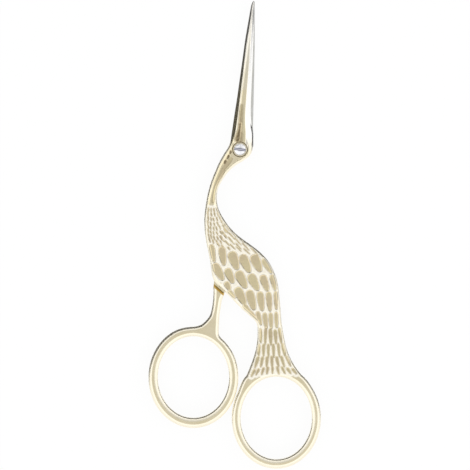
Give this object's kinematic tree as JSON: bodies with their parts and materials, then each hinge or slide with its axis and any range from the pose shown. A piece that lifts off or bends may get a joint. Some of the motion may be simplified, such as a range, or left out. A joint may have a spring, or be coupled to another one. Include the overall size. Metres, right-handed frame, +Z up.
{
  "type": "stork embroidery scissors",
  "caption": "Small gold-plated embroidery scissors shaped like a stork: slim beak blades, slotted pivot screw, S-curved neck, feathered body and two oval finger rings.",
  "frame": {"origin": "where the pivot screw's axis meets the plane that the closed scissors lie on, at the middle of the boss under the pivot", "axes": "+Z up along the pivot axis towards the feathered front, +Y from the finger rings towards the beak tip, +X towards the ring of the front half"},
  "size_m": [0.0468, 0.1269, 0.0036],
  "materials": {
    "gold_plate": "forged steel with polished pale gold plating, satin in the carved feathers",
    "screw_steel": "bright nickel-plated steel"
  },
  "bodies": {
    "back": {"back_half": "gold_plate", "pivot_screw": "screw_steel"},
    "front": {"front_half": "gold_plate"}
  },
  "joints": [
    {"name": "blade_pivot", "type": "hinge", "parent": "back", "child": "front", "pos_m": [0, 0, 0.0018], "axis": [0, 0, 1], "range_deg": [0, 75]}
  ]
}
